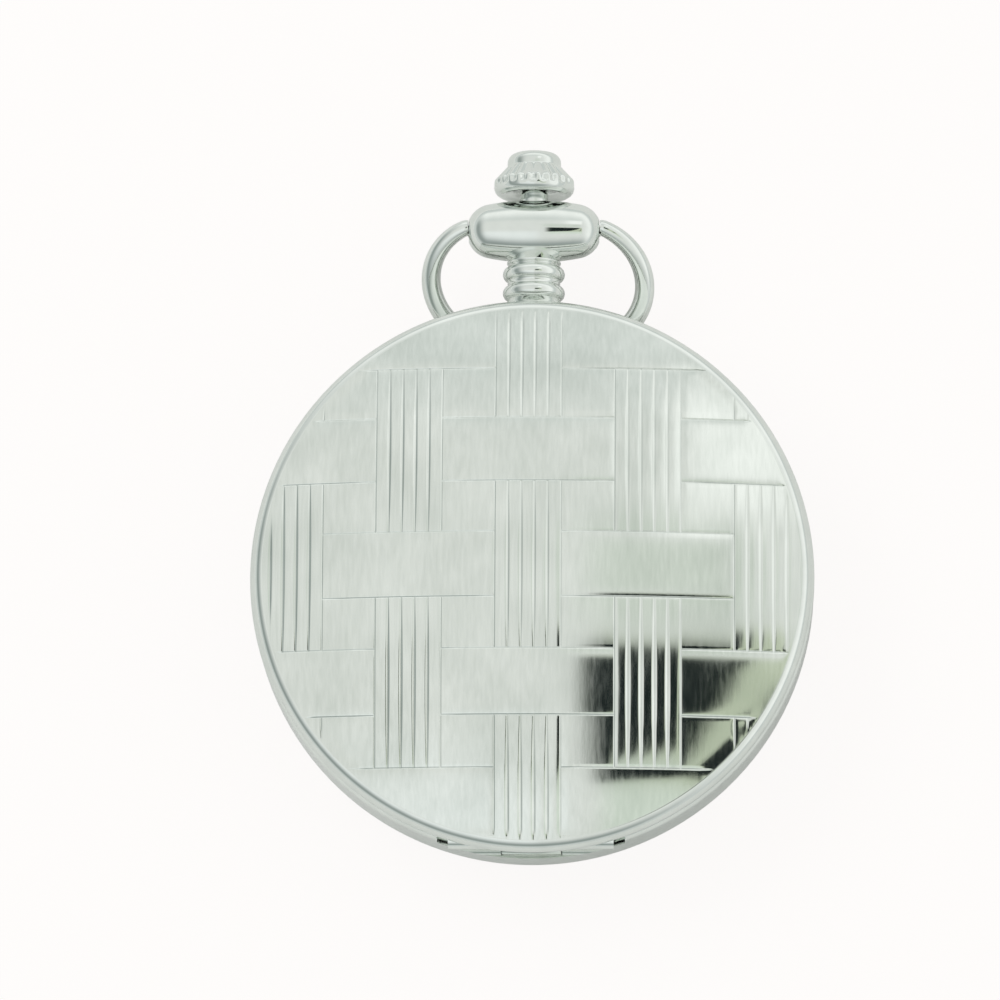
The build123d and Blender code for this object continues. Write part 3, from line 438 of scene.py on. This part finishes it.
# %% [markdown]
# The grid is cut to a circle: a cell that crosses the circle keeps the part inside, with new points
# on the circle itself. The rim starts on that circle with the dome's own slope and rolls over to
# the side, so no seam shows. The rim, the inner face and the wall between them are one turned
# shape, and the hinge knuckle and catch lug come from short solid bars.

# %% Face of the cover
def face_mesh():
    """Grid cells inside the circle, with the crossing cells cut along it."""
    points, faces, kinds, index = [], [], [], {}

    def number(x, y):
        """Number of the point at (x, y), made at its first use."""
        key = (round(x, 5), round(y, 5))
        if key not in index:
            index[key] = len(points)
            points.append((x, y, dome(x, y) - weave(x, y)[0]))
        return index[key]

    def crossing(x, y, other_x, other_y):
        """Where the side from an inside corner to an outside one meets the circle."""
        if x == other_x:
            return x, math.copysign(math.sqrt(face_edge ** 2 - x * x), other_y)
        return math.copysign(math.sqrt(face_edge ** 2 - y * y), other_x), y

    outside = face_edge + 1
    wide_x, wide_y = [-outside] + xs + [outside], [-outside] + ys + [outside]
    for x0, x1 in zip(wide_x, wide_x[1:]):
        for y0, y1 in zip(wide_y, wide_y[1:]):
            corners = [(x0, y0), (x1, y0), (x1, y1), (x0, y1)]
            inside = [math.hypot(*c) < face_edge for c in corners]
            if not any(inside):
                continue
            ring = []
            for i, corner in enumerate(corners):
                after = (i + 1) % 4
                if inside[i]:
                    ring.append(number(*corner))
                if inside[i] and not inside[after]:
                    ring.append(number(*crossing(*corner, *corners[after])))
                if inside[after] and not inside[i]:
                    ring.append(number(*crossing(*corners[after], *corner)))
            if len(set(ring)) > 2:
                faces.append(tuple(dict.fromkeys(ring)))
                middle = [sum(points[k][axis] for k in ring) / len(ring) for axis in (0, 1)]
                kinds.append(weave(*middle)[1])
    return points, faces, kinds


def rim_profile():
    """From the edge of the face over the rim, round the bottom and across the inner face to the middle."""
    slope = math.asin(face_edge / dome_r)
    roll = (cover_r - face_edge) / (1 - math.sin(slope))
    edge_top = dome(face_edge, 0)
    centre = (face_edge - roll * math.sin(slope), edge_top - roll * math.cos(slope))
    outer = [(face_edge - 0.04, edge_top - 0.012)]
    outer += arc(centre, roll, 90 - math.degrees(slope), 0, 16)
    outer += [(cover_r, rim_bottom + 0.1), (cover_r - 0.03, rim_bottom + 0.03), (cover_r - 0.1, rim_bottom)]
    inner_r = cad_cover_r - 0.75
    ceiling_r = inner_r - 0.35
    ceiling = dome(ceiling_r, 0) - cover_wall
    inner = [(inner_r + 0.05, rim_bottom), (inner_r, rim_bottom + 0.05), (inner_r, ceiling - 0.1),
             (inner_r - 0.1, ceiling - 0.02), (ceiling_r, ceiling)]
    steps = 16
    radii = [ceiling_r * (1 - i / steps) for i in range(1, steps)]
    inner += [(r, dome(r, 0) - cover_wall) for r in radii]
    return outer + inner + [(0.01, cover_top - cover_wall)]


def joint_place(name):
    """Y and Z of a joint in millimetres."""
    joint = next(j for j in frame["record"]["behaviour"]["joints"] if j["name"] == name)
    return joint["pos_m"][1] / MM, joint["pos_m"][2] / MM


def bar(x0, x1, outline):
    """Solid bar along X with an outline in Y and Z; faces at both ends."""
    count = len(outline)
    points = [(x, y, z) for x in (x0, x1) for y, z in outline]
    faces = [(k, (k + 1) % count, count + (k + 1) % count, count + k) for k in range(count)]
    return points, faces + [tuple(range(count - 1, -1, -1)), tuple(range(count, 2 * count))]


def oblong(y0, y1, z0, z1):
    """Corners of an upright rectangle in Y and Z."""
    return [(y0, z0), (y1, z0), (y1, z1), (y0, z1)]


def join(*meshes):
    """One list of points and faces from several, with a slot number for each face."""
    points, faces, slots = [], [], []
    for slot, (more, polygons) in meshes:
        start = len(points)
        points += more
        faces += [tuple(start + k for k in polygon) for polygon in polygons]
        slots += slot if isinstance(slot, list) else [slot] * len(polygons)
    return points, faces, slots


face_points, face_faces, face_kinds = face_mesh()
rim = lathe(rim_profile(), 240, about_z)
hinge_y, hinge_z = joint_place("cover_hinge")
knuckle_half, knuckle_r = 2.5, 0.8
knuckle = bar(-knuckle_half, knuckle_half, arc((hinge_y, hinge_z), knuckle_r, 0, 345, 23))
tail = bar(-knuckle_half, knuckle_half, oblong(hinge_y - 0.68, hinge_y + 0.68, hinge_z, rim_bottom + 0.38))
lug_half, lug_start, lug_end, lug_height = 2, 22.86, 23.1, 0.25
lug = bar(-lug_half, lug_half, oblong(lug_start, lug_end, rim_bottom, rim_bottom + lug_height))
cover_points, cover_faces, cover_slots = join(
    (face_kinds, (face_points, face_faces)), (3, rim), (3, knuckle), (3, tail), (3, lug))
cover_materials = [cover_ribs, cover_bands, cover_squares, polished]
cover = piece("woven_cover", cover_points, cover_faces, cover_materials, "lid", cover_slots)
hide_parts("front_cover")
print("cover faces", made["woven_cover"])

# %% [markdown]
# ## Pendant, bead and bow
#
# The neck has two rounded rings and a thin flange, and the barrel-shaped bead above it carries the
# bow. They are mirror-polished, so they are turned again here with many segments, on the same
# sizes.

# %% Neck and bead
case_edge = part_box("case_band")[1][1] / MM
bead_low, bead_high = [[c / MM for c in corner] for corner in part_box("pendant_bead")]
bow_axis = joint_place("bow_swing")[0]
bead_half, bead_r, bead_end_r = bead_high[0], (bead_high[2] - bead_low[2]) / 2, 1.0
print("bead half length", round(bead_half, 2), "radius", round(bead_r, 2), "on y", round(bow_axis, 2))


def neck_profile():
    """From inside the band over the two rings and the flange into the bead."""
    ring_r, rounding = 2.66, 0.68
    out = [(1.25, case_edge - 0.95), (1.9, case_edge - 0.95), (1.9, case_edge - 0.05)]
    out += [(2.3, case_edge + 0.3)]
    for ring_y in (case_edge + 1.2, case_edge + 2.85):
        out += arc((ring_r - rounding, ring_y), rounding, -66, 66, 16)
    out += [(2.1, case_edge + 3.58), (2.12, case_edge + 3.66), (2.24, case_edge + 3.70)]
    out += arc((2.2, case_edge + 3.84), 0.12, -60, 50, 6)
    return out + [(2.0, case_edge + 4.2), (1.72, bow_axis - 2.0), (1.6, bow_axis - 1.6)]


def bead_profile():
    """From one end over the long barrel arc to the other, with a tighter arc at each shoulder."""
    shoulder_x, shoulder_r, end_arc = 4.0, 2.3, 2.21
    hole_r, hole_depth = 0.55, 0.8
    fall = bead_r - shoulder_r
    barrel = (shoulder_x ** 2 + fall ** 2) / (2 * fall)
    turn = math.asin(shoulder_x / barrel)
    lean = math.degrees(turn)
    middle = arc((bead_r - barrel, 0), barrel, 0, lean, 16)
    centre = (shoulder_r - end_arc * math.cos(turn), shoulder_x - end_arc * math.sin(turn))
    last = math.degrees(math.atan2(bead_half - centre[1], bead_end_r - centre[0]))
    end = arc(centre, end_arc, lean, last, 14)[1:]
    half = middle + end + [(bead_end_r - 0.05, bead_half)]
    half += [(hole_r, bead_half), (hole_r, bead_half - hole_depth)]
    return [(r, -h) for r, h in reversed(half[1:])] + half


def about_bow(r, h, turn):
    """Turned round the axis on which the bow swings, which runs along X."""
    return (h, bow_axis + r * math.cos(turn), stem_height + r * math.sin(turn))


neck = piece("turned_neck", *lathe(neck_profile(), 160, about_stem), [polished], "case")
bead = piece("turned_bead", *lathe(bead_profile(), 160, about_bow), [polished], "case")
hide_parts("pendant_neck")
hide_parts("pendant_bead")
print("neck and bead faces", made["turned_neck"], made["turned_bead"])

# %% [markdown]
# The bow is one drawn wire, bent to an oval and thicker at its far end than at its pins. It is made
# as rings of points along three arcs that meet without a corner. A curve with a bevel would do, but
# the rings make it easy to change the thickness along the way.

# %% Bow
wire_r, wire_end_r = 0.9, 0.62
bow_end_x, bow_end_y = 5.95, -0.3
bow_half_width, bow_widest, bow_reach = 9.2, 4.81, 11.41
bow_skew = 0.06
bow_lean = math.radians(34.5)


def bow_line(steps):
    """Points of the wire's centreline, from the right pin round to the left one, in the bow's own plane."""
    span = bow_half_width - bow_end_x
    rise = bow_widest - bow_end_y
    side_r = (span ** 2 + rise ** 2) / (2 * span)
    side = (bow_half_width - side_r, bow_widest)
    drop = bow_reach - bow_widest - side_r
    offset = (side[0] ** 2 - drop ** 2) / (2 * drop)
    end_y = bow_widest - offset
    end_r = bow_reach - end_y
    meet = math.degrees(math.atan2(bow_widest - end_y, side[0]))
    first = math.degrees(math.atan2(-rise, bow_end_x - side[0]))
    right = arc(side, side_r, first, meet, steps)
    far = arc((0, end_y), end_r, meet, 180 - meet, steps)[1:]
    even = right + far + [(-x, y) for x, y in reversed(right)][1:]
    return [(x + bow_skew * max(y, 0), y) for x, y in even]


def in_bow(x, y, z):
    """From the bow's own plane, where +y is away from the pins, to where it hangs at rest."""
    turned = math.pi + bow_lean
    return (x, bow_axis + y * math.cos(turned) - z * math.sin(turned),
            stem_height + y * math.sin(turned) + z * math.cos(turned))


def bow_mesh(sides=40):
    """Rings of points along the wire, closed at both feet."""
    foot_y = bow_end_y - 0.07
    foot = [(bead_half + 0.06, foot_y), (bead_half + 0.1, foot_y)]
    line = foot + bow_line(36) + [(-x, y) for x, y in reversed(foot)]
    count = len(line)
    points, faces = [], []
    for i, (x, y) in enumerate(line):
        before, after = line[max(i - 1, 0)], line[min(i + 1, count - 1)]
        length = math.dist(before, after)
        out = ((after[1] - before[1]) / length, -(after[0] - before[0]) / length)
        share = math.sin(math.pi * i / (count - 1)) ** 0.5
        radius = wire_end_r + (wire_r - wire_end_r) * share
        for k in range(sides):
            turn = 2 * math.pi * k / sides
            flat = radius * math.cos(turn)
            points.append(in_bow(x + out[0] * flat, y + out[1] * flat, radius * math.sin(turn)))
    for i in range(count - 1):
        for k in range(sides):
            after = (k + 1) % sides
            faces.append((i * sides + k, i * sides + after, (i + 1) * sides + after, (i + 1) * sides + k))
    return points, faces + [tuple(range(sides)), tuple(range((count - 1) * sides, count * sides))[::-1]]


def bow_pin(side):
    """Pin at the foot of the wire that turns in the bead."""
    pin_r, start, stop, chamfer = 0.5, 4.45, 5.7, 0.08
    profile = [(0.01, start), (pin_r - chamfer, start), (pin_r, start + chamfer)]
    profile += [(pin_r, stop), (0.01, stop + 0.05)]

    def outwards(r, h, turn):
        return (side * h, bow_axis + side * r * math.cos(turn), stem_height + r * math.sin(turn))

    return lathe(profile, 40, outwards)


bow_points, bow_faces, bow_slots = join((0, bow_mesh()), (0, bow_pin(1)), (0, bow_pin(-1)))
bow = piece("drawn_bow", bow_points, bow_faces, [polished], "bow", bow_slots)
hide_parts("bow")
print("bow faces", made["drawn_bow"])

# %% [markdown]
# ## Crown
#
# The crown has a smooth underside, a rim, a sloping shoulder cut with flutes, and a plain cap. It
# is a lathe whose radius dips at every flute; the dip fades in and out, so that each flute ends in
# a point.

# %% Crown
crown_low, crown_high = [[c / MM for c in corner] for corner in crown_box]
crown_start, crown_end, crown_r = crown_low[1], crown_high[1], (crown_high[0] - crown_low[0]) / 2
flutes, flute_depth, cap_r = 24, 0.2, 2.3
slope_start, slope_end = crown_start + 0.7, crown_start + 2.58
print("crown from", round(crown_start, 2), "to", round(crown_end, 2), "radius", round(crown_r, 2))


def crown_profile():
    """From the sleeve hole over the smooth underside and the rim to the cap."""
    hole_r, rim_start, rim_height, rim_rounding, cap_rounding = 1.26, crown_start + 0.7, 0.45, 0.5, 0.8
    outline = [(hole_r, crown_start + 0.9), (hole_r, crown_start + 0.32), (2.1, crown_start + 0.28)]
    outline += [(2.5, crown_start + 0.12), (2.75, crown_start + 0.01), (2.95, crown_start + 0.04)]
    outline += [(3.2, crown_start + 0.2), (3.36, crown_start + 0.4), (crown_r, rim_start)]
    side = 6
    outline += [(crown_r, rim_start + rim_height * i / side) for i in range(1, side + 1)]
    outline += arc((crown_r - rim_rounding, rim_start + rim_height), rim_rounding, 5, 40, 7)
    corner, top = outline[-1], (cap_r, crown_start + 2.6)
    slope = 14
    outline += [tuple(c + (t - c) * i / slope for c, t in zip(corner, top)) for i in range(1, slope + 1)]
    outline += [(cap_r, crown_start + 2.65), (cap_r, crown_end - 0.85)]
    outline += arc((cap_r - cap_rounding, crown_end - cap_rounding), cap_rounding, 8, 85, 12)
    return outline + [(1.0, crown_end - 0.005), (0.01, crown_end)]


def fluted(r, h, turn):
    """Turned round the stem, with the flutes cut into the slope."""
    depth = 0.0
    if slope_start < h < slope_end and r > cap_r:
        along = (h - slope_start) / (slope_end - slope_start)
        round_part = abs(math.cos(turn * flutes / 2)) ** 2.2
        depth = flute_depth * math.sin(math.pi * along ** 0.8) ** 0.6 * round_part
    return about_stem(r - depth, h, turn)


fluted_crown = piece("fluted_crown", *lathe(crown_profile(), 384, fluted), [polished], "crown")
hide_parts("crown")
print("crown faces", made["fluted_crown"])

# %% [markdown]
# ## Dial printing
#
# With the cover open, the dial shows a minute track and the numbers 1 to 12 inside the batons. They
# are thin printed shapes, so they are raised only a few hundredths of a millimetre.

# %% Minute track
dial_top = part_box("hour_markers")[0][2] / MM
track_r, ring_width, print_height = 17.75, 0.08, 0.02
minutes = 60


def minute_mark(i):
    """A thin box that points inwards from the ring; every fifth one is longer and wider."""
    turn = math.radians(6 * i)
    long, wide = (0.75, 0.09) if i % 5 == 0 else (0.5, 0.05)
    out = Vector((math.cos(turn), math.sin(turn)))
    side = Vector((-math.sin(turn), math.cos(turn)))
    ends = [out * track_r - side * wide, out * track_r + side * wide,
            out * (track_r - long) + side * wide, out * (track_r - long) - side * wide]
    points = [(p.x, p.y, dial_top + z) for z in (0.0, print_height) for p in ends]
    return points, [(0, 3, 2, 1), (4, 5, 6, 7), (0, 1, 5, 4), (1, 2, 6, 5), (2, 3, 7, 6), (3, 0, 4, 7)]


def track_mesh():
    """The marks and the ring that joins their outer ends."""
    ring = [(track_r, dial_top), (track_r, dial_top + print_height),
            (track_r + ring_width, dial_top + print_height), (track_r + ring_width, dial_top)]
    return join(*[(0, minute_mark(i)) for i in range(minutes)], (0, lathe(ring, 240, about_z)))


track_points, track_faces, track_slots = track_mesh()
track = piece("minute_track", track_points, track_faces, [print_black], "case", track_slots, smooth=False)
print("track faces", made["minute_track"])

# %% Numbers
number_r, number_size = 11.9, 2.7
hours = 12
for hour in range(1, hours + 1):
    turn = math.radians(90 - 30 * hour)
    text = bpy.data.curves.new(f"number_{hour}", "FONT")
    text.body = str(hour)
    text.size = number_size * MM
    text.align_x = "CENTER"
    text.align_y = "CENTER"
    text.extrude = 0.01 * MM
    number = bpy.data.objects.new(f"number_{hour}", text)
    number.location = (number_r * MM * math.cos(turn), number_r * MM * math.sin(turn),
                       (dial_top + 0.012) * MM)
    text.materials.append(print_black)
    bpy.context.scene.collection.objects.link(number)
    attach(number, "case")
print("numbers", hours)

# %% [markdown]
# ## Table, light and camera
#
# Polished metal shows what is round it. The world is a pale studio, even overhead, darker low down
# on the left and lighter on the right, so that ribs and rings have a light and a dark side. Near
# the camera there are a dark shape and an olive one, as if a person stood before a wall. The table
# is white.
#
# Directions are split into dx, dy and dz. Each patch of the studio is a smooth window on them, and
# blends one colour over those before it.

# %% World
world = bpy.data.worlds.new("studio")
bpy.context.scene.world = world
world.use_nodes = True
wn, wl = world.node_tree.nodes, world.node_tree.links
sky = wn["Background"]
direction = wn.new("ShaderNodeSeparateXYZ")
wl.new(wn.new("ShaderNodeTexCoord").outputs["Generated"], direction.inputs["Vector"])


def step(socket, low, high):
    """From 0 to 1 as the value passes from low to high."""
    node = wn.new("ShaderNodeMapRange")
    node.interpolation_type = "SMOOTHSTEP"
    node.inputs["From Min"].default_value = low
    node.inputs["From Max"].default_value = high
    wl.new(socket, node.inputs["Value"])
    return node.outputs["Result"]


def times(a, b):
    """Product of two values."""
    node = wn.new("ShaderNodeMath")
    node.operation = "MULTIPLY"
    wl.new(a, node.inputs[0])
    wl.new(b, node.inputs[1])
    return node.outputs["Value"]


def window(socket, low, high, soft):
    """1 between low and high, with soft edges."""
    rise = step(socket, low - soft, low + soft)
    fall = step(socket, high + soft, high - soft)
    return times(rise, fall)


def blend(factor, before, after):
    """From one colour to another as the factor goes from 0 to 1; each may be a link or plain numbers."""
    node = wn.new("ShaderNodeMix")
    node.data_type = "RGBA"
    wl.new(factor, node.inputs["Factor"])
    for name, colour in (("A", before), ("B", after)):
        if isinstance(colour, tuple):
            node.inputs[name].default_value = (*colour, 1)
        else:
            wl.new(colour, node.inputs[name])
    return node.outputs["Result"]


def leaning(across, up):
    """How far a direction points towards (across, up)."""
    first = wn.new("ShaderNodeMath")
    first.operation = "MULTIPLY"
    first.inputs[1].default_value = across
    wl.new(dx, first.inputs[0])
    both = wn.new("ShaderNodeMath")
    both.operation = "MULTIPLY_ADD"
    both.inputs[1].default_value = up
    wl.new(dy, both.inputs[0])
    wl.new(first.outputs["Value"], both.inputs[2])
    return both.outputs["Value"]


def patch(across, up, soft_across, soft_up):
    """1 inside a soft-edged rectangle of dx and dy."""
    return times(window(dx, *across, soft_across), window(dy, *up, soft_up))


dx, dy, dz = direction.outputs

# %% Sky
low_left, low_right = (0.32, 0.36, 0.35), (1.02, 1.04, 1.02)
zenith, beyond = (0.82, 0.84, 0.815), (0.71, 0.75, 0.73)
near_left, middle_right, far_right = (0.92, 0.955, 0.95), (0.70, 0.75, 0.69), (1.06, 1.08, 1.06)
horizon = (0.66, 0.70, 0.685)
low_sky = blend(step(leaning(0.7, 0.7), -0.55, 0.45), low_left, low_right)
overhead = blend(step(dy, 0.40, 0.62), zenith, beyond)
overhead = blend(times(step(dy, -0.08, -0.35), step(dx, 0.08, -0.05)), overhead, near_left)
overhead = blend(patch((0.07, 0.40), (0.08, 0.27), 0.07, 0.06), overhead, middle_right)
overhead = blend(patch((0.25, 0.48), (0.30, 0.52), 0.06, 0.06), overhead, far_right)
studio = blend(step(dz, 0.4, 0.9), low_sky, overhead)
studio = blend(step(dz, 0.34, 0.10), studio, horizon)

# %% Wall and person
wall_low, wall_high = (0.76, 0.83, 0.75), (0.58, 0.64, 0.50)
clothes, sleeve = (0.012, 0.018, 0.018), (0.045, 0.055, 0.05)
wall = patch((0.11, 0.50), (-0.36, 0.045), 0.035, 0.03)
studio = blend(wall, studio, blend(step(dy, -0.19, -0.27), wall_high, wall_low))
slant = leaning(0.892, -0.452)
person = times(patch((0.095, 0.6), (-0.6, 0.036), 0.034, 0.012),
               times(step(slant, 0.355, 0.335), step(leaning(0.24, -0.971), 0.262, 0.242)))
studio = blend(person, studio, clothes)
arm = times(window(slant, 0.418, 0.446, 0.008), window(dy, -0.18, -0.04, 0.012))
studio = blend(arm, studio, sleeve)

# %% Backdrop
backdrop = (0.98, 0.965, 0.94)
to_camera = wn.new("ShaderNodeLightPath").outputs["Is Camera Ray"]
studio = blend(to_camera, studio, backdrop)
wl.new(studio, sky.inputs["Color"])
sky.inputs["Strength"].default_value = 1.0
print("world nodes", len(wn))

# %% [markdown]
# The camera sees the table as an even white glow with a little real shadow in it, while the metal
# mirrors the plain card. From underneath the table lets the view through, so that the back of the
# watch can be looked at. It lies a hair below the back cover, because two faces in the same plane
# would flicker.

# %% Table
table_half, table_drop, glow_share = 600.0, 0.05, 0.9
corners = [(x * table_half * MM, y * table_half * MM, -table_drop * MM)
           for x, y in ((-1, -1), (1, -1), (1, 1), (-1, 1))]
table = bpy.data.objects.new("table", bpy.data.meshes.new("table"))
table.data.from_pydata(corners, [], [(0, 1, 2, 3)])
bpy.context.scene.collection.objects.link(table)
card, cn, cl, cs, where = blank("white_card")
cs.inputs["Roughness"].default_value = 0.8
tint(cn, cl, cs, grain(cn, cl, where, 300), (0.80, 0.795, 0.785), (0.83, 0.825, 0.815))
glow = cn.new("ShaderNodeEmission")
glow.inputs["Color"].default_value = (1.02, 1.0, 0.99, 1)
rays = cn.new("ShaderNodeLightPath")
share = cn.new("ShaderNodeMath")
share.operation = "MULTIPLY"
share.inputs[1].default_value = glow_share
cl.new(rays.outputs["Is Camera Ray"], share.inputs[0])
mix = cn.new("ShaderNodeMixShader")
cl.new(share.outputs["Value"], mix.inputs["Fac"])
cl.new(cs.outputs["BSDF"], mix.inputs[1])
cl.new(glow.outputs["Emission"], mix.inputs[2])
under = cn.new("ShaderNodeMixShader")
cl.new(cn.new("ShaderNodeNewGeometry").outputs["Backfacing"], under.inputs["Fac"])
cl.new(mix.outputs["Shader"], under.inputs[1])
cl.new(cn.new("ShaderNodeBsdfTransparent").outputs["BSDF"], under.inputs[2])
cl.new(under.outputs["Shader"], cn["Material Output"].inputs["Surface"])
table.data.materials.append(card)
print("table", 2 * table_half, "mm wide")

# %% Lamp
lamp = bpy.data.lights.new("softbox", "AREA")
lamp.shape = "RECTANGLE"
lamp.size, lamp.size_y = 0.5, 0.35
lamp.energy = 1.6
lamp_place = bpy.data.objects.new("softbox", lamp)
lamp_place.location = (-0.45, 0.25, 0.6)
lamp_place.rotation_euler = (Vector((0, 0, 0)) - lamp_place.location).to_track_quat("-Z", "Y").to_euler()
lamp_place.visible_glossy = False
bpy.context.scene.collection.objects.link(lamp_place)
print("lamp", lamp.energy, "W")

# %% [markdown]
# The camera looks almost straight down on the cover from a long way off. It stands a little towards
# the hinge, so that the two notches of the hinge and the band under them show at the near edge.

# %% Camera
aim = Vector((-2.82, 7.16, 7.5)) * MM
lean_back, lean_right = math.radians(11.0), math.radians(1.5)
away = Vector((math.tan(lean_right), -math.tan(lean_back), 1)).normalized()
distance, view_width = 0.7, 85.5 * MM
lens = bpy.data.cameras.new("camera")
lens.sensor_width = 36.0
lens.lens = 36.0 * distance / view_width
lens.clip_start = 0.01
camera = bpy.data.objects.new("camera", lens)
camera.location = aim + away * distance
side = Vector((1, 0, 0)) - away * away.x
side.normalize()
up = away.cross(side)
camera.matrix_world = Matrix((
    (side.x, up.x, away.x, camera.location.x),
    (side.y, up.y, away.y, camera.location.y),
    (side.z, up.z, away.z, camera.location.z),
    (0, 0, 0, 1)))
bpy.context.scene.collection.objects.link(camera)
bpy.context.scene.camera = camera
bpy.context.scene.view_settings.view_transform = "Standard"
print("camera at", [round(c, 3) for c in camera.location])

# %% [markdown]
# Last, the number of faces of each piece made here is printed.

# %% Finish
bpy.context.view_layer.update()
print("made", made)
